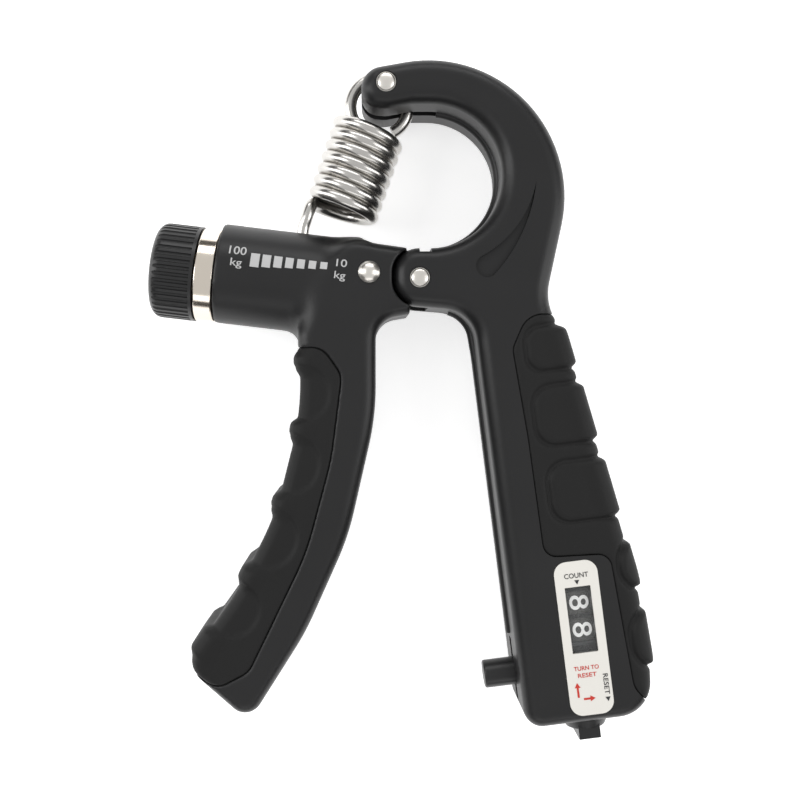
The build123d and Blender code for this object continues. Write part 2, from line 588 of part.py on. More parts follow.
lens = block(-WINDOW_WIDE / 2 + 0.05, WINDOW_WIDE / 2 - 0.05, -WINDOW_LONG / 2 + 0.05,
             WINDOW_LONG / 2 - 0.05, MID - WALL + 0.1, lens_top)
parts["window_lens"] = counter * lens
label = Pos(0, -LABEL_DOWN, MID - LABEL_SINK) * extrude(
    RectangleRounded(LABEL_WIDE, LABEL_LONG, 2.85), LABEL_T)
label -= block(-WINDOW_WIDE / 2, WINDOW_WIDE / 2, -WINDOW_LONG / 2, WINDOW_LONG / 2, 0, 20)
parts["counter_label"] = counter * label

# ---- Files -----------------------------------------------------------------------
for name, shape in parts.items():
    if isinstance(shape, (list, tuple)):
        shape = Compound(children=list(shape))
    export_step(shape, "parts/" + name + ".step")
    print(name)
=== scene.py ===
"""Finger exerciser: looks, camera and light over the CAD frame.

Lengths in the script are millimetres; MM turns them into metres where a mesh is made.
"""
import bmesh
import bpy
import numpy as np
from math import atan2, cos, pi, radians, sin, tan
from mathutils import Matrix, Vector
from mathutils.bvhtree import BVHTree


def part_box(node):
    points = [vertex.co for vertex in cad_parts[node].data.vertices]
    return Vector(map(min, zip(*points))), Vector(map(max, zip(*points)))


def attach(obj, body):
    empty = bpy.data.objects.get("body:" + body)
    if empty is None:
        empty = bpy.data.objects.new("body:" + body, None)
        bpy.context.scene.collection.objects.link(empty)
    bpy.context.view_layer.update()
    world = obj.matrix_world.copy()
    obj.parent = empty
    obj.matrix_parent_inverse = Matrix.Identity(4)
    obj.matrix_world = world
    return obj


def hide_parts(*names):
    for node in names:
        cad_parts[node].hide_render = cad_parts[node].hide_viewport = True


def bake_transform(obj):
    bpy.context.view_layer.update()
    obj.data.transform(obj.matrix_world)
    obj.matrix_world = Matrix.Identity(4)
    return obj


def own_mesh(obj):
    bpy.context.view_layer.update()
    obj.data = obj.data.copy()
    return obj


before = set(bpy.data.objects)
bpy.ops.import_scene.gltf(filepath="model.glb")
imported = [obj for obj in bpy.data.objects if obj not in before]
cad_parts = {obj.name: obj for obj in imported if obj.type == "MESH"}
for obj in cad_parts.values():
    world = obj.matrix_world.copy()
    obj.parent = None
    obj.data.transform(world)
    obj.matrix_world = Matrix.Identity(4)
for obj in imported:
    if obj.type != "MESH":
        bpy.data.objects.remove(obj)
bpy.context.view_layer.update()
scene = bpy.context.scene

# ---- Camera -----------------------------------------------------------------------------
# The camera looks straight down on the grip.  It stands close, so the walls that face the
# middle of the view show a little; the lens is shifted to place the grip in the frame.
camera_data = bpy.data.cameras.new("camera")
camera = bpy.data.objects.new("camera", camera_data)
scene.collection.objects.link(camera)
camera.location = (-0.01185, -0.0208, 0.248)
camera_data.lens = 45
camera_data.sensor_width = 36
camera_data.shift_x = 0.041
camera_data.shift_y = -0.0375
camera_data.clip_start = 0.01
scene.camera = camera
scene.view_settings.view_transform = "Standard"

# ---- Floor and light --------------------------------------------------------------------
# A white floor that glows a little, a dim white studio, and large soft lights that stand
# to the sides, so that the black faces stay dark and only their rounded edges catch light.
world = bpy.data.worlds.new("studio")
scene.world = world
world.use_nodes = True
world.node_tree.nodes["Background"].inputs["Color"].default_value = (1, 1, 1, 1)
world.node_tree.nodes["Background"].inputs["Strength"].default_value = 0.70

floor_half = 2.0
floor_mesh = bpy.data.meshes.new("floor")
floor_corners = [(-floor_half, -floor_half, 0), (floor_half, -floor_half, 0),
                 (floor_half, floor_half, 0), (-floor_half, floor_half, 0)]
floor_mesh.from_pydata(floor_corners, [], [(0, 1, 2, 3)])
floor = bpy.data.objects.new("floor", floor_mesh)
scene.collection.objects.link(floor)
floor.location = (0, 0, -0.0003)
floor_paint = bpy.data.materials.new("floor_paint")
floor_paint.use_nodes = True
floor_shader = floor_paint.node_tree.nodes["Principled BSDF"]
floor_shader.inputs["Base Color"].default_value = (0.92, 0.92, 0.92, 1)
floor_shader.inputs["Roughness"].default_value = 0.7
floor_shader.inputs["Emission Color"].default_value = (1, 1, 1, 1)
floor_shader.inputs["Emission Strength"].default_value = 0.62
floor_mesh.materials.append(floor_paint)

# A dark wall far round the grip, hidden from the camera: only reflections show it.
WALL_FAR, WALL_LOW, WALL_HIGH, WALL_SIDES = 1.3, 0.05, 0.75, 24
wall_points = []
for wall_height in (WALL_LOW, WALL_HIGH):
    for k in range(WALL_SIDES):
        turn = 2 * pi * k / WALL_SIDES
        wall_points.append((WALL_FAR * cos(turn), WALL_FAR * sin(turn), wall_height))
wall_faces = []
for k in range(WALL_SIDES):
    after = (k + 1) % WALL_SIDES
    wall_faces.append((k, after, WALL_SIDES + after, WALL_SIDES + k))
wall_mesh = bpy.data.meshes.new("dark_wall")
wall_mesh.from_pydata(wall_points, [], wall_faces)
dark_wall = bpy.data.objects.new("dark_wall", wall_mesh)
scene.collection.objects.link(dark_wall)
wall_paint = bpy.data.materials.new("wall_paint")
wall_paint.use_nodes = True
wall_shader = wall_paint.node_tree.nodes["Principled BSDF"]
wall_shader.inputs["Base Color"].default_value = (0.05, 0.048, 0.045, 1)
wall_shader.inputs["Roughness"].default_value = 0.9
wall_mesh.materials.append(wall_paint)
dark_wall.visible_camera = False


def soft_light(name, place, size, power):
    """Rectangular light that faces the middle of the grip."""
    data = bpy.data.lights.new(name, "AREA")
    data.shape = "RECTANGLE"
    data.size, data.size_y = size
    data.energy = power
    lamp = bpy.data.objects.new(name, data)
    lamp.location = place
    aim = Vector((0, -0.02, 0.01)) - Vector(place)
    lamp.rotation_euler = aim.to_track_quat("-Z", "Y").to_euler()
    scene.collection.objects.link(lamp)


soft_light("light_left", (-0.75, 0.10, 0.42), (0.35, 0.9), 3.6)
soft_light("light_right", (0.75, -0.05, 0.42), (0.35, 0.9), 2.6)
soft_light("light_far", (0.05, 0.80, 0.45), (0.9, 0.3), 2.6)
soft_light("light_near", (0.0, -0.80, 0.40), (0.9, 0.25), 1.2)

# ---- Grain of the finishes ----------------------------------------------------------------
# Moulded and plated faces are never quite even.  One group of nodes gives every finish its
# mottled colour and roughness from a broad noise, and the height of its grain from a fine one.
BROAD_SCALE = 60.0
GRAIN_HIGH = 0.0002     # metres

surface_grain = bpy.data.node_groups.new("surface_grain", "ShaderNodeTree")
for socket_name, socket_type in (
        ("Dark", "NodeSocketColor"), ("Light", "NodeSocketColor"),
        ("Grain Scale", "NodeSocketFloat"), ("Least Roughness", "NodeSocketFloat"),
        ("Most Roughness", "NodeSocketFloat")):
    surface_grain.interface.new_socket(socket_name, in_out="INPUT", socket_type=socket_type)
for socket_name, socket_type in (
        ("Colour", "NodeSocketColor"), ("Roughness", "NodeSocketFloat"),
        ("Height", "NodeSocketFloat")):
    surface_grain.interface.new_socket(socket_name, in_out="OUTPUT", socket_type=socket_type)
enter = surface_grain.nodes.new("NodeGroupInput")
leave = surface_grain.nodes.new("NodeGroupOutput")
where = surface_grain.nodes.new("ShaderNodeTexCoord")
fine = surface_grain.nodes.new("ShaderNodeTexNoise")
fine.inputs["Detail"].default_value = 3.0
broad = surface_grain.nodes.new("ShaderNodeTexNoise")
broad.inputs["Scale"].default_value = BROAD_SCALE
broad.inputs["Detail"].default_value = 4.0
tint = surface_grain.nodes.new("ShaderNodeMix")
tint.data_type = "RGBA"
spread = surface_grain.nodes.new("ShaderNodeMapRange")
for source, target in (
        (where.outputs["Object"], fine.inputs["Vector"]),
        (where.outputs["Object"], broad.inputs["Vector"]),
        (enter.outputs["Grain Scale"], fine.inputs["Scale"]),
        (enter.outputs["Dark"], tint.inputs[6]),
        (enter.outputs["Light"], tint.inputs[7]),
        (broad.outputs["Fac"], tint.inputs[0]),
        (enter.outputs["Least Roughness"], spread.inputs["To Min"]),
        (enter.outputs["Most Roughness"], spread.inputs["To Max"]),
        (broad.outputs["Fac"], spread.inputs["Value"]),
        (tint.outputs[2], leave.inputs["Colour"]),
        (spread.outputs["Result"], leave.inputs["Roughness"]),
        (fine.outputs["Fac"], leave.inputs["Height"])):
    surface_grain.links.new(source, target)


def finish(name, colour, rough, metal=0.0, grain=900.0, bump=0.05, mottle=0.12,
           rough_span=0.08, shine=0.5):
    """Material whose colour, roughness and bump come from the grain group."""
    paint = bpy.data.materials.new(name)
    paint.use_nodes = True
    tree = paint.node_tree
    shader = tree.nodes["Principled BSDF"]
    shader.inputs["Metallic"].default_value = metal
    shader.inputs["Specular IOR Level"].default_value = shine
    surface = tree.nodes.new("ShaderNodeGroup")
    surface.node_tree = surface_grain
    dark = [c * (1 - mottle) for c in colour]
    light = [min(1.0, c * (1 + mottle)) for c in colour]
    surface.inputs["Dark"].default_value = (*dark, 1)
    surface.inputs["Light"].default_value = (*light, 1)
    surface.inputs["Grain Scale"].default_value = grain
    surface.inputs["Least Roughness"].default_value = max(0.02, rough - rough_span)
    surface.inputs["Most Roughness"].default_value = rough + rough_span
    relief = tree.nodes.new("ShaderNodeBump")
    relief.inputs["Strength"].default_value = bump
    relief.inputs["Distance"].default_value = GRAIN_HIGH
    tree.links.new(surface.outputs["Colour"], shader.inputs["Base Color"])
    tree.links.new(surface.outputs["Roughness"], shader.inputs["Roughness"])
    tree.links.new(surface.outputs["Height"], relief.inputs["Height"])
    tree.links.new(relief.outputs["Normal"], shader.inputs["Normal"])
    return paint


def paint_nodes(paint, *node_names):
    """Gives CAD nodes one finish."""
    for node_name in node_names:
        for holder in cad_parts[node_name].material_slots:
            holder.link = "OBJECT"
            holder.material = paint


# ---- Casings ----------------------------------------------------------------------------
# The handle and the lever are each two halves moulded in black glass-filled nylon, with a
# fine matt grain, screwed together from the back.
black_shell = finish("black_shell", (0.0115, 0.0115, 0.0120), 0.40, grain=1500, bump=0.10,
                     shine=0.36)
paint_nodes(black_shell, "handle_front_shell", "handle_rear_shell", "lever_front_shell",
            "lever_rear_shell")

# ---- Screws, pins and hinge -------------------------------------------------------------
# Case screws of zinc-plated steel; nickel-plated rivets through the hinge, the hook and the
# arm; a pressed-in bush and two nylon washers between the ears and the lever's tongue.
zinc = finish("zinc", (0.55, 0.56, 0.58), 0.32, metal=1.0, grain=900, bump=0.08)
nickel = finish("nickel", (0.80, 0.77, 0.72), 0.30, metal=1.0, grain=700, bump=0.02, mottle=0.05,
                rough_span=0.05)
nylon = finish("nylon", (0.74, 0.73, 0.68), 0.45)
paint_nodes(zinc, "handle_screws", "lever_screws")
paint_nodes(nickel, "pivot_pin", "spring_pin", "pivot_bush", "retaining_pin")
paint_nodes(nylon, "pivot_washers", "spring_bush")

# ---- Tension screw ----------------------------------------------------------------------
# A ribbed black knob with its cap turns a steel screw along the arm, against a brass washer
# inside a plated ring.  The screw moves a nylon slide with a brass nut.
black_knob = finish("black_knob", (0.0115, 0.0115, 0.0120), 0.34, grain=1500, bump=0.06,
                    shine=0.45)
ring_nickel = finish("ring_nickel", (0.80, 0.73, 0.64), 0.14, metal=1.0, grain=500, bump=0.03,
                     mottle=0.06, rough_span=0.05)
brass = finish("brass", (0.78, 0.60, 0.30), 0.28, metal=1.0)
paint_nodes(black_knob, "tension_knob", "knob_cap")
paint_nodes(ring_nickel, "trim_ring")
paint_nodes(brass, "thrust_washer", "carriage_nut")
paint_nodes(zinc, "lead_screw")
paint_nodes(nylon, "spring_carriage")

# ---- Stroke counter ---------------------------------------------------------------------
# Two black number wheels with a nylon ratchet and carry pinion, on a steel axle in a stamped
# bracket; a moulded button and reset knob; a printed label plate with a clear window.
wheel_black = finish("wheel_black", (0.055, 0.053, 0.048), 0.5, shine=0.2)
label_film = finish("label_film", (0.80, 0.78, 0.73), 0.42, grain=1200, bump=0.03, mottle=0.03)
lens_clear = bpy.data.materials.new("lens_clear")
lens_clear.use_nodes = True
lens_shader = lens_clear.node_tree.nodes["Principled BSDF"]
lens_shader.inputs["Base Color"].default_value = (0.95, 0.97, 0.97, 1)
lens_shader.inputs["Roughness"].default_value = 0.05
lens_shader.inputs["Alpha"].default_value = 0.05
paint_nodes(wheel_black, "units_wheel", "tens_wheel")
paint_nodes(nylon, "ratchet_wheel", "transfer_pinion")
paint_nodes(zinc, "counter_frame", "pinion_shaft", "button_pawl", "counter_axle", "axle_clip")
paint_nodes(black_knob, "count_button", "reset_knob")
paint_nodes(label_film, "counter_label")
paint_nodes(lens_clear, "window_lens")

# ---- Main spring ------------------------------------------------------------------------
# One plated steel wire: round loop on the hook's pin, a short run to the first coil, seven
# close coils, then the leg that goes down into the slot of the arm and crosses the slide.
spring_steel = finish("spring_steel", (0.60, 0.585, 0.56), 0.24, metal=1.0, grain=700, bump=0.02,
                      mottle=0.04, rough_span=0.05)
paint_nodes(spring_steel, "tension_spring", "spring_leg")
MM = 0.001
THICK = 24.0
MID = THICK / 2
WIRE_R = 1.45
COIL_R = 7.4
COIL_PITCH = 3.0
COIL_TURNS = 7
LOOP_R = 6.8
COIL_LEAN = radians(18.8)
COIL_DROP = 0.6         # from the top of the coil to its first turn
coil_top = Vector((-11.1, 36.6, MID))
hang = Vector((-7.6, 44.0, MID))
ARM_TILT = radians(-6.8)
ARM_DROP = 4.33
SLIDE_AT = -28.2        # rest place of the slide along the arm
FOOT_HALF = 4.8         # half length of the cross bar at the spring's foot


def arm_point(x, y, z=0.0):
    """Place along and across the arm and above its axis, in the row frame, millimetres."""
    across = y - ARM_DROP
    return Vector((x * cos(ARM_TILT) - across * sin(ARM_TILT),
                   x * sin(ARM_TILT) + across * cos(ARM_TILT), MID + z))


down = Vector((-sin(COIL_LEAN), -cos(COIL_LEAN), 0))
left = Vector((-cos(COIL_LEAN), sin(COIL_LEAN), 0))
out = Vector((0, 0, 1))
spring_foot = arm_point(SLIDE_AT, 5.2)
pull = (spring_foot - hang).normalized()
side = Vector((pull.y, -pull.x, 0))
loop_centre = hang + pull * (LOOP_R - 2.2 - WIRE_R)
route = []
for step in range(49):
    turn = radians(-125 + 330 * step / 48)
    lift = 0.3 * (step / 48 - 0.5)
    route.append(loop_centre + side * LOOP_R * sin(turn) - pull * LOOP_R * cos(turn) + out * lift)
first = radians(250)
for step in range(1, 13):
    blend_in = step / 12
    last_loop = route[48]
    start_coil = (coil_top + left * COIL_R * cos(first) + out * COIL_R * sin(first)
                  + down * COIL_DROP)
    swell = sin(pi * blend_in)
    route.append(last_loop.lerp(start_coil, blend_in) + left * 1.2 * swell)
coil_steps = COIL_TURNS * 40
end_angle = round((first + 2 * pi * COIL_TURNS) / (2 * pi)) * 2 * pi
for step in range(1, coil_steps + 1):
    turn = first + (end_angle - first) * step / coil_steps
    along = COIL_DROP + COIL_PITCH * COIL_TURNS * step / coil_steps
    route.append(coil_top + down * along + left * COIL_R * cos(turn) + out * COIL_R * sin(turn))
knee = arm_point(SLIDE_AT, 14.2)
leg = [
    route[-1] + down * 3.6 + out * 0.4 - left * 0.2, knee,
    arm_point(SLIDE_AT, 11.0), arm_point(SLIDE_AT, 8.0), spring_foot + Vector((0, 0.6, 0)),
    spring_foot + Vector((0, 0, -1.5)), spring_foot + Vector((0, 0, -FOOT_HALF))]
route += leg


def smooth_route(points, rounds, held):
    """Relaxes the last part of a run of points, after it is cut finer."""
    fine = points[:held]
    for a, b in zip(points[held - 1:-1], points[held:]):
        count = max(1, int((b - a).length / 0.5))
        for k in range(1, count + 1):
            fine.append(a.lerp(b, k / count))
    for _ in range(rounds):
        fresh = list(fine)
        for k in range(held - 1, len(fine) - 1):
            fresh[k] = (fine[k - 1] + fine[k] * 2 + fine[k + 1]) / 4
        fine = fresh
    return fine


route = smooth_route(route, 5, len(route) - len(leg))


def wire_mesh(name, points, radius, sides, paint):
    """Round wire along a run of points, made by Geometry Nodes and kept as a plain mesh."""
    line = bpy.data.meshes.new(name + "_line")
    line.from_pydata([p * MM for p in points], [(k, k + 1) for k in range(len(points) - 1)], [])
    holder = bpy.data.objects.new(name + "_line", line)
    scene.collection.objects.link(holder)
    tree = bpy.data.node_groups.new(name + "_wire", "GeometryNodeTree")
    tree.interface.new_socket("Line", in_out="INPUT", socket_type="NodeSocketGeometry")
    wire_radius = tree.interface.new_socket("Wire Radius", in_out="INPUT",
                                            socket_type="NodeSocketFloat")
    tree.interface.new_socket("Wire", in_out="OUTPUT", socket_type="NodeSocketGeometry")
    enter = tree.nodes.new("NodeGroupInput")
    leave = tree.nodes.new("NodeGroupOutput")
    to_curve = tree.nodes.new("GeometryNodeMeshToCurve")
    section = tree.nodes.new("GeometryNodeCurvePrimitiveCircle")
    section.inputs["Resolution"].default_value = sides
    tube = tree.nodes.new("GeometryNodeCurveToMesh")
    tube.inputs["Fill Caps"].default_value = True
    shade = tree.nodes.new("GeometryNodeSetShadeSmooth")
    real = tree.nodes.new("GeometryNodeRealizeInstances")
    paint_it = tree.nodes.new("GeometryNodeSetMaterial")
    paint_it.inputs["Material"].default_value = paint
    tree.links.new(enter.outputs["Line"], to_curve.inputs["Mesh"])
    tree.links.new(enter.outputs["Wire Radius"], section.inputs["Radius"])
    tree.links.new(to_curve.outputs["Curve"], tube.inputs["Curve"])
    tree.links.new(section.outputs["Curve"], tube.inputs["Profile Curve"])
    tree.links.new(tube.outputs["Mesh"], shade.inputs["Geometry"])
    tree.links.new(shade.outputs["Geometry"], real.inputs["Geometry"])
    tree.links.new(real.outputs["Geometry"], paint_it.inputs["Geometry"])
    tree.links.new(paint_it.outputs["Geometry"], leave.inputs["Wire"])
    maker = holder.modifiers.new("wire", "NODES")
    maker.node_group = tree
    maker[wire_radius.identifier] = radius * MM
    bpy.context.view_layer.update()
    finished = holder.evaluated_get(bpy.context.evaluated_depsgraph_get())
    done = bpy.data.meshes.new_from_object(finished)
    bpy.data.objects.remove(holder)
    made = bpy.data.objects.new(name, done)
    scene.collection.objects.link(made)
    shell = bmesh.new()
    shell.from_mesh(done)
    bmesh.ops.remove_doubles(shell, verts=shell.verts, dist=1e-7)
    bmesh.ops.recalc_face_normals(shell, faces=shell.faces)
    shell.to_mesh(done)
    shell.free()
    return made


main_spring = wire_mesh("main_spring", route, WIRE_R, 24, spring_steel)
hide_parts("tension_spring", "spring_leg")
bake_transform(main_spring)

# ---- Soft grips -------------------------------------------------------------------------
# Both rubber grips are solid shapes given by distances: the handle's own rounded outline,
# less its hard core, cut along the seam with a soft edge.  The palm side carries five raised
# pads with a fine groove round each; the finger side four hollows with ridges between them.
grip_rubber = finish("grip_rubber", (0.0100, 0.0100, 0.0100), 0.60, grain=2200, bump=0.15,
                     shine=0.26)
paint_nodes(grip_rubber, "handle_palm_grip", "lever_finger_grip")
EDGE_ROUND = 3.4
RUBBER = 1.8
COUNTER_X, COUNTER_Y = 36.15, -76.7
HANDLE_TILT = radians(7.2)
HANDLE_LEFT = 15.1
HANDLE_BASE = 23.7
RING_IN_X, RING_IN_Y, RING_IN_R = 2.4, 23.3, 16.4


def in_counter(x, y, r):
    """Corner given in the counter's frame, in the row frame."""
    return (COUNTER_X + x * cos(HANDLE_TILT) - y * sin(HANDLE_TILT),
            COUNTER_Y + x * sin(HANDLE_TILT) + y * cos(HANDLE_TILT), r)


def round_corners(cx, cy, radius, start, end, count):
    """Corners round a circle's tangent polygon, so that the outline follows the circle."""
    half = (end - start) / count / 2
    reach = radius / cos(radians(half))
    angles = [radians(start + half * (2 * k + 1)) for k in range(count)]
    return [(cx + reach * cos(a), cy + reach * sin(a), radius * 0.995) for a in angles]


def rounded_outline(corners, step=0.4):
    """Points along a closed run of straight lines whose corners (x, y, r) are rounded."""
    points = []
    count = len(corners)
    for k in range(count):
        here = np.array(corners[k][:2])
        back = np.array(corners[k - 1][:2]) - here
        ahead = np.array(corners[(k + 1) % count][:2]) - here
        back /= np.linalg.norm(back)
        ahead /= np.linalg.norm(ahead)
        half = np.arccos(np.clip(back @ ahead, -1, 1)) / 2
        reach = corners[k][2] / tan(half)
        centre = here + (back + ahead) / np.linalg.norm(back + ahead) * corners[k][2] / sin(half)
        first_spoke = here + back * reach - centre
        last_spoke = here + ahead * reach - centre
        begin = atan2(first_spoke[1], first_spoke[0])
        sweep = (atan2(last_spoke[1], last_spoke[0]) - begin + pi) % (2 * pi) - pi
        pieces = max(2, int(abs(sweep) * corners[k][2] / step))
        for j in range(pieces + 1):
            angle = begin + sweep * j / pieces
            points.append((centre[0] + corners[k][2] * cos(angle),
                           centre[1] + corners[k][2] * sin(angle)))
    return np.array(points)


def outline_distance(points, gx, gy):
    """Signed distance to a closed outline at grid points, negative inside."""
    best = np.full(gx.shape, 1e9)
    inside = np.zeros(gx.shape, bool)
    for a, b in zip(points, np.roll(points, -1, axis=0)):
        run = b - a
        size = run @ run
        if size < 1e-12:
            continue
        t = np.clip(((gx - a[0]) * run[0] + (gy - a[1]) * run[1]) / size, 0, 1)
        gap = (gx - a[0] - t * run[0]) ** 2 + (gy - a[1] - t * run[1]) ** 2
        best = np.minimum(best, gap)
        if a[1] != b[1]:
            crosses = (a[1] > gy) != (b[1] > gy)
            inside ^= crosses & (gx < a[0] + (gy - a[1]) / run[1] * run[0])
    best = np.sqrt(best)
    return np.where(inside, -best, best)


def soft_step(value, width):
    """One well inside (negative), nought outside, smooth over a width."""
    t = np.clip(0.5 - value / width, 0, 1)
    return t * t * (3 - 2 * t)


def soft_box(gx, gy, cx, cy, half_x, half_y, corner, lean):
    """Signed distance to a leaning box with rounded corners."""
    x = (gx - cx) * cos(lean) + (gy - cy) * sin(lean)
    y = -(gx - cx) * sin(lean) + (gy - cy) * cos(lean)
    qx = np.abs(x) - half_x + corner
    qy = np.abs(y) - half_y + corner
    outside = np.hypot(np.maximum(qx, 0), np.maximum(qy, 0))
    return np.minimum(np.maximum(qx, qy), 0) + outside - corner


def thick_slab(distance, z, rounding, half):
    """Distance to a slab of an outline, rounded along both faces."""
    qx = distance + rounding
    qz = np.abs(z - MID) - half + rounding
    outside = np.hypot(np.maximum(qx, 0), np.maximum(qz, 0))
    return np.minimum(np.maximum(qx, qz), 0) + outside - rounding


def soft_max(a, b, k):
    """Larger of two distances with a rounded edge where they meet."""
    blend_by = np.clip(0.5 + (a - b) / (2 * k), 0, 1)
    return b + (a - b) * blend_by + k * blend_by * (1 - blend_by)


def skin_of(name, field, low, step, paint):
    """Closed mesh of the surface where a field of distances is nought."""
    inside = field < 0
    nx, ny, nz = field.shape
    corner = np.zeros((nx - 1, ny - 1, nz - 1), np.int8)
    for dx in (0, 1):
        for dy in (0, 1):
            for dz in (0, 1):
                corner += inside[dx:nx - 1 + dx, dy:ny - 1 + dy, dz:nz - 1 + dz]
    active = (corner > 0) & (corner < 8)
    cells = np.argwhere(active)
    number = np.full(active.shape, -1, np.int64)
    number[active] = np.arange(len(cells))
    total = np.zeros((len(cells), 3))
    hits = np.zeros(len(cells))
    for axis in range(3):
        others = [k for k in range(3) if k != axis]
        for u in (0, 1):
            for v in (0, 1):
                start = cells.copy()
                start[:, others[0]] += u
                start[:, others[1]] += v
                stop = start.copy()
                stop[:, axis] += 1
                fa = field[tuple(start.T)]
                fb = field[tuple(stop.T)]
                cut = (fa < 0) != (fb < 0)
                share = np.where(cut, fa / np.where(cut, fa - fb, 1), 0)
                place = start.astype(float)
                place[:, axis] += share
                total[cut] += place[cut]
                hits[cut] += 1
    vertices = total / hits[:, None] * step + np.array(low)
    faces = []
    for axis in range(3):
        others = [(axis + 1) % 3, (axis + 2) % 3]
        head = [slice(None)] * 3
        tail = [slice(None)] * 3
        head[axis] = slice(0, -1)
        tail[axis] = slice(1, None)
        first_in = inside[tuple(head)]
        second_in = inside[tuple(tail)]
        for flip, where in ((False, first_in & ~second_in), (True, ~first_in & second_in)):
            at = np.argwhere(where)
            ring = []
            for u, v in ((-1, -1), (0, -1), (0, 0), (-1, 0)):
                cell = at.copy()
                cell[:, others[0]] += u
                cell[:, others[1]] += v
                ring.append(number[tuple(cell.T)])
            quad = np.stack(ring, axis=1)
            faces.append(quad[:, ::-1] if flip else quad)
    faces = np.concatenate(faces)
    mesh = bpy.data.meshes.new(name)
    mesh.vertices.add(len(vertices))
    mesh.vertices.foreach_set("co", (vertices * MM).ravel())
    mesh.loops.add(len(faces) * 4)
    mesh.loops.foreach_set("vertex_index", faces.ravel())
    mesh.polygons.add(len(faces))
    mesh.polygons.foreach_set("loop_start", np.arange(len(faces)) * 4)
    mesh.update(calc_edges=True)
    mesh.validate()
    mesh.shade_smooth()
    mesh.materials.append(paint)
    made = bpy.data.objects.new(name, mesh)
    scene.collection.objects.link(made)
    return made


def grip_grid(node_name, step, spare):
    """Grid of points over a CAD node's box."""
    low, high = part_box(node_name)
    low = np.array(low) / MM - spare
    high = np.array(high) / MM + spare
    axes = [np.arange(low[k], high[k] + step, step) for k in range(3)]
    gx, gy = np.meshgrid(axes[0], axes[1], indexing="ij")
    return low, gx, gy, axes[2]


handle_outline = rounded_outline([
    (-13.2, 39.0, 4.2), (-13.2, 47.3, 5.0), *round_corners(2.05, 18.6, 30.9, 100, -12.5, 3),
    (28.4, -6.0, 12.0), (32.6, -12.0, 8.0), (49.0, -67.5, 50.0), (52.2, -86.0, 40.0),
    in_counter(13.7, -HANDLE_BASE, 8.0), in_counter(-HANDLE_LEFT, -HANDLE_BASE, 4.2),
    in_counter(-HANDLE_LEFT, 71.8, 8.0), (-6.0, -5.9, 6.0), (-6.0, 6.9, 5.9),
    *round_corners(RING_IN_X, RING_IN_Y, RING_IN_R, -90, 90, 4), (-1.5, RING_IN_Y + RING_IN_R, 5.0),
    (-7.5, 38.6, 6.0)])
palm_seam = rounded_outline([
    (62.0, -8.1, 1.0), (24.0, -8.1, 5.5), (20.6, -16.0, 4.0), (24.1, -36.0, 60.0),
    (27.8, -62.9, 3.2), (42.4, -62.1, 3.0), (47.9, -92.0, 5.0), (52.5, -97.0, 2.0), (62.0, -97.0, 1.0)])
GRID = 0.42
palm_low, palm_x, palm_y, palm_z = grip_grid("handle_palm_grip", GRID, 2.0)
palm_edge = outline_distance(handle_outline, palm_x, palm_y)
palm_cut = outline_distance(palm_seam, palm_x, palm_y)
PAD_PROUD = 0.8
PAD_BEVEL = 1.3
GROOVE_DEEP = 0.60
GROOVE_WIDE = 0.45
pads = [
    (23.7, -11.4, -21.5, 3.5), (25.6, -24.8, -38.3, 4.5), (28.9, -41.9, -55.5, 4.5),
    (44.5, -58.9, -70.8, 5.5), (47.3, -74.6, -88.5, 6.0)]
pad_height = np.zeros(palm_x.shape)
pad_groove = np.zeros(palm_x.shape)
for pad_left, pad_top, pad_bottom, pad_corner in pads:
    half_tall = (pad_top - pad_bottom) / 2
    half_wide = 16.0
    pad_middle = (pad_top + pad_bottom) / 2 + half_wide * sin(HANDLE_TILT)
    to_pad = soft_box(palm_x, palm_y, pad_left + half_wide, pad_middle, half_wide, half_tall,
                      pad_corner, HANDLE_TILT)
    pad_height = np.maximum(pad_height, soft_step(to_pad + PAD_BEVEL / 2, PAD_BEVEL))
    pad_groove = np.maximum(pad_groove, np.exp(-((to_pad - 0.2) / GROOVE_WIDE) ** 2))
side_share = np.clip((palm_edge + 5.0) / 5.0, 0, 1)
raise_palm = PAD_PROUD * pad_height * (0.40 + 0.75 * side_share) - GROOVE_DEEP * pad_groove
palm_field = np.empty((*palm_x.shape, len(palm_z)))
for level, z in enumerate(palm_z):
    front_share = np.clip(z / 5.0, 0, 1)
    body = thick_slab(palm_edge, z, EDGE_ROUND, MID) - raise_palm * front_share
    core = thick_slab(palm_edge + RUBBER, z, 0.5, MID - RUBBER)
    palm_field[:, :, level] = np.maximum(soft_max(body, palm_cut, 0.7), -core)
palm_grip = skin_of("palm_grip", palm_field, palm_low, GRID, grip_rubber)
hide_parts("handle_palm_grip")
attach(palm_grip, "main_handle")

lever_outline = rounded_outline([
    (3.5, -7.2, 4.0), (3.5, 5.4, 4.0), (-3.0, 7.0, 4.0), (-17.0, 9.0, 5.0), (-27.6, -12.4, 5.0),
    (-27.6, -31.0, 60.0), (-33.2, -53.4, 60.0), (-42.0, -71.0, 40.0),
    (-53.7, -87.5, 6.0), (-38.6, -100.6, 4.0),
    (-25.8, -80.3, 60.0), (-16.1, -58.6, 60.0), (-9.9, -31.2, 60.0), (-9.9, -9.4, 5.5)])
finger_seam = rounded_outline([
    (-60.0, -15.7, 1.0), (-22.0, -15.7, 5.0), (-17.6, -22.0, 5.0), (-20.0, -41.0, 60.0),
    (-25.6, -62.0, 60.0), (-38.4, -88.6, 5.0), (-46.0, -92.6, 5.0), (-62.0, -82.0, 1.0)])
finger_low, finger_x, finger_y, finger_z = grip_grid("lever_finger_grip", GRID, 2.2)
finger_edge = outline_distance(lever_outline, finger_x, finger_y)
finger_cut = outline_distance(finger_seam, finger_x, finger_y)
HOLLOW_DEEP = 0.50
RIDGE_PROUD = 1.0
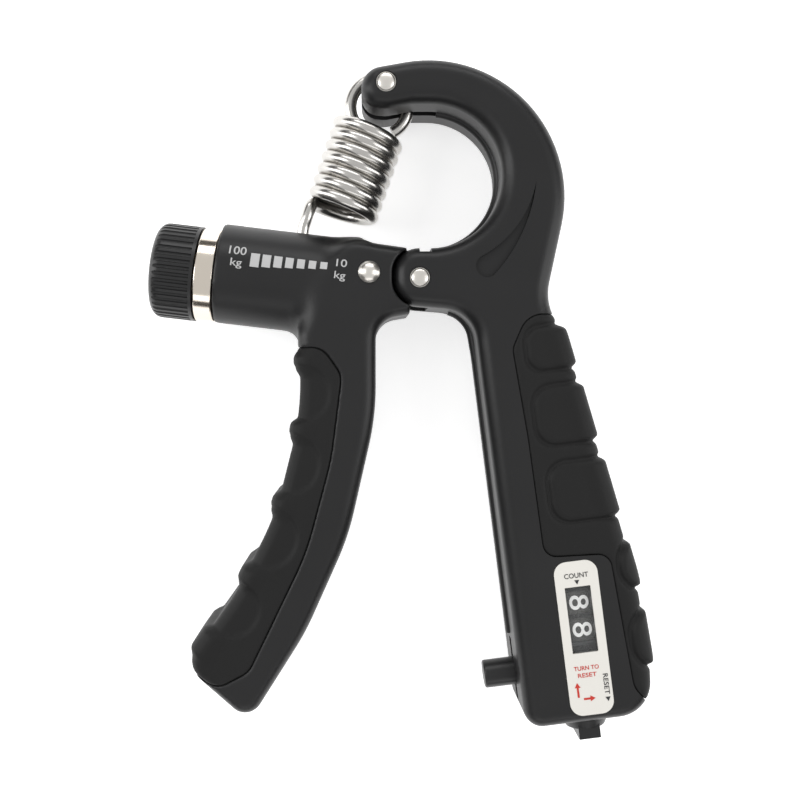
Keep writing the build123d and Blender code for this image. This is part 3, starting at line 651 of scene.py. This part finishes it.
hollows = [
    (-20.1, -26.5, 12.8, 4), (-22.6, -43.6, 13.9, 14), (-27.9, -61.3, 14.3, 24),
    (-36.8, -78.0, 13.2, 33)]
ridges = [
    (-27.6, -19.3, 4.5, 4), (-29.0, -34.5, 4.5, 10), (-33.6, -50.8, 4.6, 19),
    (-41.0, -66.4, 4.6, 28), (-50.0, -81.4, 6.6, 34)]
hollow_depth = np.zeros(finger_x.shape)
for hollow_right, hollow_y, hollow_tall, hollow_lean in hollows:
    lean = -radians(hollow_lean)
    to_hollow = soft_box(finger_x, finger_y, hollow_right - 12 * cos(lean),
                         hollow_y - 12 * sin(lean), 12, hollow_tall / 2, hollow_tall / 2 - 0.3,
                         lean)
    hollow_depth = np.maximum(hollow_depth, soft_step(to_hollow + 0.3, 1.1))
ridge_height = np.zeros(finger_x.shape)
for ridge_x, ridge_y, ridge_tall, ridge_lean in ridges:
    lean = -radians(ridge_lean)
    across_ridge = -(finger_x - ridge_x) * sin(lean) + (finger_y - ridge_y) * cos(lean)
    ridge_height = np.maximum(ridge_height, soft_step(np.abs(across_ridge) - ridge_tall / 2, 2.2))
edge_share = np.clip((finger_edge + 5.0) / 5.0, 0, 1)
raise_finger = RIDGE_PROUD * ridge_height * edge_share - HOLLOW_DEEP * hollow_depth
finger_field = np.empty((*finger_x.shape, len(finger_z)))
for level, z in enumerate(finger_z):
    front_share = np.clip(z / 5.0, 0, 1)
    body = thick_slab(finger_edge, z, EDGE_ROUND, MID) - raise_finger * front_share
    core = thick_slab(finger_edge + RUBBER, z, 0.5, MID - RUBBER)
    finger_field[:, :, level] = np.maximum(soft_max(body, finger_cut, 0.7), -core)
finger_grip = skin_of("finger_grip", finger_field, finger_low, GRID, grip_rubber)
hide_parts("lever_finger_grip")
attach(finger_grip, "lever")

# ---- Casing of the lever ----------------------------------------------------------------
# Front and rear halves from one field: the rounded lever melts into the round barrel of the
# arm.  The bores, the slot of the spring, the room for the handle's ears and the seats of the
# pins stay open, and the core under the rubber keeps its step.
ARM_END = 46.5
BARREL_R = 11.65
BARREL_RISE = 0.8
MELT = 4.5              # how far the lever and the barrel run into each other
HUB_R = 5.6             # tongue of the hinge
EAR_DEEP, EAR_GAP = 6.5, 0.3
SLIDE_BORE_R = 8.6
SCREW_BORE_R = 2.6
COLLAR_BORE_R = 4.05
BUSH_HOLE_R = 3.52
PIN_HOLE_R = 1.55
SLOT_OUTER, SLOT_INNER, SLOT_GAP = -42.0, -16.6, 0.45


def bar_along(along, across, z, radius, start, stop, rise=0.0):
    """Distance to a cylinder along the arm between two places."""
    round_part = np.sqrt((across - rise) ** 2 + (z - MID) ** 2) - radius
    return np.maximum(round_part, np.maximum(start - along, along - stop))


def post(gx, gy, z, x, y, radius, low, high):
    """Distance to a cylinder across the thickness."""
    return np.maximum(np.hypot(gx - x, gy - y) - radius, np.maximum(low - z, z - high))


def lever_half(name, node_name, front):
    """One half of the lever's casing."""
    low, gx, gy, heights = grip_grid(node_name, GRID, 2.0)
    edge = outline_distance(lever_outline, gx, gy)
    seam = outline_distance(finger_seam, gx, gy)
    ears = outline_distance(handle_outline, gx, gy) - EAR_GAP
    along = gx * cos(ARM_TILT) + gy * sin(ARM_TILT)
    across = -gx * sin(ARM_TILT) + gy * cos(ARM_TILT) + ARM_DROP
    neck = np.maximum(np.maximum(-2.2 - gx, gy - 10), HUB_R - np.hypot(gx, gy))
    pin_place = arm_point(-11.5, 4.2)
    field = np.empty((*gx.shape, len(heights)))
    for level, z in enumerate(heights):
        slab_part = thick_slab(edge, z, EDGE_ROUND, MID)
        barrel = bar_along(along, across, z, BARREL_R, -ARM_END, -15.0, BARREL_RISE)
        mix = np.clip(0.5 + (barrel - slab_part) / (2 * MELT), 0, 1)
        body = barrel + (slab_part - barrel) * mix - MELT * mix * (1 - mix)
        body = soft_max(body, abs(z - MID) - MID + 0 * body, 0.8)
        body = soft_max(body, -ARM_END - along, 0.9)
        core = thick_slab(edge + RUBBER, z, 0.5, MID - RUBBER)
        body = np.maximum(body, np.minimum(-seam, core))
        ear_depth = max(EAR_DEEP - z, z - (THICK - EAR_DEEP))
        cuts = [
            np.maximum(ears, -ear_depth), neck,
            bar_along(along, across, z, SLIDE_BORE_R, -ARM_END + 2.4, -14.4),
            bar_along(along, across, z, SCREW_BORE_R, -60, -15.0),
            bar_along(along, across, z, COLLAR_BORE_R, -15.1, -8.0),
            post(gx, gy, z, 0, 0, BUSH_HOLE_R, -1, THICK + 1),
            post(gx, gy, z, pin_place.x, pin_place.y, PIN_HOLE_R, -1, THICK + 1)]
        slot_side = np.maximum(np.maximum(SLOT_OUTER - along, along - SLOT_INNER),
                               np.maximum(3 - across, across - 16))
        cuts.append(np.maximum(slot_side, abs(z - MID) - WIRE_R - SLOT_GAP))
        for cut in cuts:
            body = np.maximum(body, -cut)
        field[:, :, level] = np.maximum(body, MID - z if front else z - MID)
    made = skin_of(name, field, low, GRID, black_shell)
    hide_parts(node_name)
    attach(made, "lever")
    return made


lever_front = lever_half("lever_front", "lever_front_shell", True)
lever_half("lever_rear", "lever_rear_shell", False)

# ---- Lip along the inner wall of the handle -----------------------------------------------
# A rounded bead runs along the middle of the thickness, round the inside of the hook ring and
# down the inner side of the handle to the button.  Its middle lies a little inside the wall.
LIP_R = 1.35
LIP_IN = 0.55
LIP_RING_R = 16.32 + LIP_IN
lip_ring = []
for step in range(73):
    turn = radians(-82 + 165 * step / 72)
    lip_ring.append(Vector((RING_IN_X + LIP_RING_R * cos(turn),
                            RING_IN_Y + LIP_RING_R * sin(turn), MID)))
ring_lip = wire_mesh("ring_lip", lip_ring, LIP_R, 20, black_shell)
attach(ring_lip, "main_handle")
lip_side = []
for place_y in range(-4, 61, 4):
    spot = in_counter(-HANDLE_LEFT + LIP_IN, place_y, 0)
    lip_side.append(Vector((spot[0], spot[1], MID)))
side_turn = [p for p in handle_outline if 7.0 < p[0] < 16.5 and -16.0 < p[1] < -5.0]
side_turn.sort(key=lambda p: p[1] - 0.3 * p[0])
hub_lean = Vector((0.35, 1.0, 0)).normalized() * LIP_IN
for x, y in side_turn:
    lip_side.append(Vector((x, y, MID)) + hub_lean)
side_lip = wire_mesh("side_lip", lip_side, LIP_R, 20, black_shell)
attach(side_lip, "main_handle")

# ---- Domes of the sunk rivets -------------------------------------------------------------
# The two sunk pins end in low polished domes that stand just proud of their heads.
DOME_R = 2.15
DOME_HIGH = 0.75
for dome_name, pin_node, dome_x, dome_y in (("pivot_dome", "pivot_pin", 0.0, 0.0),
                                            ("hook_dome", "spring_pin", -7.6, 44.0)):
    dome_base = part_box(pin_node)[1].z / MM - 0.2
    dome = bmesh.new()
    bmesh.ops.create_uvsphere(dome, u_segments=48, v_segments=24, radius=1.0)
    for v in dome.verts:
        stretched = Vector((v.co.x * DOME_R, v.co.y * DOME_R, v.co.z * DOME_HIGH))
        v.co = (stretched + Vector((dome_x, dome_y, dome_base))) * MM
    dome_mesh = bpy.data.meshes.new(dome_name)
    dome.to_mesh(dome_mesh)
    dome.free()
    dome_mesh.shade_smooth()
    dome_mesh.materials.append(nickel)
    dome_object = bpy.data.objects.new(dome_name, dome_mesh)
    scene.collection.objects.link(dome_object)
    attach(dome_object, "main_handle")

# ---- Spring of the count button ---------------------------------------------------------
# Five open turns of thin wire between the button's flange and the ratchet, made at one fixed length;
# in the real counter they flatten towards the ratchet as the button goes in.
paint_nodes(spring_steel, "button_spring")
BUTTON_AT = -13.1
BUTTON_WIRE_R = 0.2
BUTTON_COIL_R = 2.4
BUTTON_TURNS = 5
button_near, button_far = -11.6, -7.35
button_route = []
for step in range(BUTTON_TURNS * 24 + 1):
    turn = 2 * pi * step / 24
    along_button = button_near + (button_far - button_near) * step / (BUTTON_TURNS * 24)
    spot = in_counter(along_button, BUTTON_AT + BUTTON_COIL_R * cos(turn), 0)
    button_route.append(Vector((spot[0], spot[1], MID + BUTTON_COIL_R * sin(turn))))
button_coil = wire_mesh("button_coil", button_route, BUTTON_WIRE_R, 10, spring_steel)
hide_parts("button_spring")
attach(button_coil, "main_handle")
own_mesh(button_coil)

# ---- Print on the label, the wheels and the arm ------------------------------------------
# Flat letters and bars are thin solids, cut into strips so that they can follow the round
# rims of the number wheels and the barrel of the arm.
white_ink_painted_glow = finish("white_ink_painted_glow", (0.90, 0.90, 0.88), 0.5, mottle=0.02)
ink_shader = white_ink_painted_glow.node_tree.nodes["Principled BSDF"]
# The white ink also glows a little. This is painted light, so that the digits sunk behind the window
# read bright.
ink_shader.inputs["Emission Color"].default_value = (1, 1, 1, 1)
ink_shader.inputs["Emission Strength"].default_value = 0.25
ink_grey = finish("ink_grey", (0.50, 0.50, 0.50), 0.5, mottle=0.06)
ink_dark = finish("ink_dark", (0.030, 0.030, 0.032), 0.5)
ink_red = finish("ink_red", (0.58, 0.035, 0.020), 0.5, mottle=0.06)
PRINT_THICK = 0.10


def letters(text, height, wide=None):
    """Closed flat letters centred on the origin, in millimetres."""
    curve = bpy.data.curves.new(text, "FONT")
    curve.body = text
    curve.extrude = PRINT_THICK / 2
    curve.resolution_u = 4
    curve.offset = 0.006
    holder = bpy.data.objects.new(text, curve)
    scene.collection.objects.link(holder)
    bpy.context.view_layer.update()
    solid = bmesh.new()
    solid.from_mesh(holder.to_mesh())
    bpy.data.objects.remove(holder)
    bmesh.ops.remove_doubles(solid, verts=solid.verts, dist=1e-5)
    xs = [v.co.x for v in solid.verts]
    ys = [v.co.y for v in solid.verts]
    scale_y = height / (max(ys) - min(ys))
    scale_x = scale_y if wide is None else wide / (max(xs) - min(xs))
    for v in solid.verts:
        v.co.x = (v.co.x - (max(xs) + min(xs)) / 2) * scale_x
        v.co.y = (v.co.y - (max(ys) + min(ys)) / 2) * scale_y
    return solid


def flat_shape(points):
    """Closed flat polygon, in millimetres."""
    solid = bmesh.new()
    bottom = [solid.verts.new((x, y, -PRINT_THICK / 2)) for x, y in points]
    top = [solid.verts.new((x, y, PRINT_THICK / 2)) for x, y in points]
    solid.faces.new(bottom[::-1])
    solid.faces.new(top)
    for k in range(len(points)):
        after = (k + 1) % len(points)
        solid.faces.new((bottom[k], bottom[after], top[after], top[k]))
    return solid


def lay_print(name, solids, paint, body):
    """Joins (solid, placing function) pairs into one piece on a body."""
    joined = bmesh.new()
    for solid, strips, put in solids:
        if strips:
            low = min(v.co.y for v in solid.verts)
            high = max(v.co.y for v in solid.verts)
            cuts = int((high - low) / strips)
            for k in range(1, cuts + 1):
                at = low + (high - low) * k / (cuts + 1)
                everything = solid.verts[:] + solid.edges[:] + solid.faces[:]
                bmesh.ops.bisect_plane(solid, geom=everything, plane_co=(0, at, 0),
                                       plane_no=(0, 1, 0))
        for v in solid.verts:
            v.co = put(v.co.x, v.co.y, v.co.z) * MM
        part_mesh = bpy.data.meshes.new("strip")
        solid.to_mesh(part_mesh)
        solid.free()
        joined.from_mesh(part_mesh)
        bpy.data.meshes.remove(part_mesh)
    bmesh.ops.recalc_face_normals(joined, faces=joined.faces)
    mesh = bpy.data.meshes.new(name)
    joined.to_mesh(mesh)
    joined.free()
    mesh.materials.append(paint)
    made = bpy.data.objects.new(name, mesh)
    scene.collection.objects.link(made)
    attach(made, body)
    return made


def on_counter(x, y, z):
    """Point of the counter's frame in the row frame."""
    px, py, _ = in_counter(x, y, 0)
    return Vector((px, py, MID + z))


WHEEL_R = 8.8
WHEEL_AT = 3.1
SHOWN = 8
STOPPED_AT = radians(3.5)


def digit_on_rim(place, digit):
    """Placing function that wraps a digit round a wheel's rim, its top towards +X."""
    turned = STOPPED_AT - (digit - SHOWN) * radians(36)

    def put(u, v, w):
        angle = turned + v / WHEEL_R
        reach = WHEEL_R + w + 0.01
        return on_counter(reach * sin(angle), place - u, reach * cos(angle))
    return put


for wheel_name, place in (("units", -WHEEL_AT), ("tens", WHEEL_AT)):
    digits = []
    for digit in range(10):
        digit_wide = 1.4 if digit == 1 else 3.3
        digits.append((letters(str(digit), 4.5, digit_wide), 0.45, digit_on_rim(place, digit)))
    lay_print(wheel_name + "_digits", digits, white_ink_painted_glow, wheel_name)

label_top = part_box("counter_label")[1].z / MM - MID


def on_label(x, y):
    """Placing function for flat print on the label."""
    def put(u, v, w):
        return on_counter(x + u, y + v, label_top + w + 0.02)
    return put


def up_label(x, y):
    """Placing function for print that reads downwards along the label."""
    def put(u, v, w):
        return on_counter(x + v, y - u, label_top + w + 0.02)
    return put


def arrow(length, width, head, turn):
    """Arrow outline pointing up, then turned."""
    shaft = width * 0.17
    points = [(-shaft, -length / 2), (shaft, -length / 2), (shaft, length / 2 - head),
              (width / 2, length / 2 - head),
              (0, length / 2), (-width / 2, length / 2 - head), (-shaft, length / 2 - head)]
    return [(x * cos(turn) - y * sin(turn), x * sin(turn) + y * cos(turn)) for x, y in points]


pointer = [(-0.55, 0.5), (0, -0.5), (0.55, 0.5)]
black_print = [
    (letters("COUNT", 1.1, 5.4), None, on_label(0, 10.0)),
    (flat_shape(pointer[::-1]), None, on_label(0, 8.45)),
    (letters("RESET", 1.1, 4.6), None, up_label(3.7, -14.9)),
    (flat_shape(pointer[::-1]), None, on_label(3.7, -18.3))]
lay_print("label_print", black_print, ink_dark, "main_handle")
red_print = [
    (letters("TURN TO", 0.95, 5.6), None, on_label(-0.3, -10.8)),
    (letters("RESET", 0.95, 4.2), None, on_label(-0.3, -12.4)),
    (flat_shape(arrow(3.3, 1.3, 1.1, 0)), None, on_label(-2.8, -15.6)),
    (flat_shape(arrow(2.6, 1.3, 1.1, -pi / 2)), None, on_label(-0.4, -17.7))]
lay_print("label_red_print", red_print, ink_red, "main_handle")

arm_surface = BVHTree.FromPolygons([v.co for v in lever_front.data.vertices],
                                   [p.vertices for p in lever_front.data.polygons])


def on_barrel(x, y):
    """Placing function that drops flat print on the front of the arm."""
    def put(u, v, w):
        above = arm_point(x + u, y + v, 40)
        hit = arm_surface.ray_cast(above * MM, Vector((0, 0, -1)))[0]
        return Vector((above.x, above.y, hit.z / MM + w + 0.03))
    return put


BAR_PITCH = 2.59
scale_print = [
    (letters("100", 1.9, 3.9), 0.5, on_barrel(-41.4, 5.6)),
    (letters("kg", 2.3, 2.6), 0.5, on_barrel(-41.4, 2.6)),
    (letters("10", 1.7, 2.4), 0.5, on_barrel(-17.8, 5.4)),
    (letters("kg", 2.2, 2.5), 0.5, on_barrel(-17.9, 2.4))]
for k in range(7):
    tall = 3.15 - 1.55 * k / 6
    half = 1.0 - 0.2 * k / 6
    bar = flat_shape([(-half, -tall / 2), (half, -tall / 2), (half, tall / 2), (-half, tall / 2)])
    scale_print.append((bar, 0.4, on_barrel(-37.3 + BAR_PITCH * k, 3.8 + 0.6 * k / 6)))
lay_print("scale_print", scale_print, ink_grey, "lever")
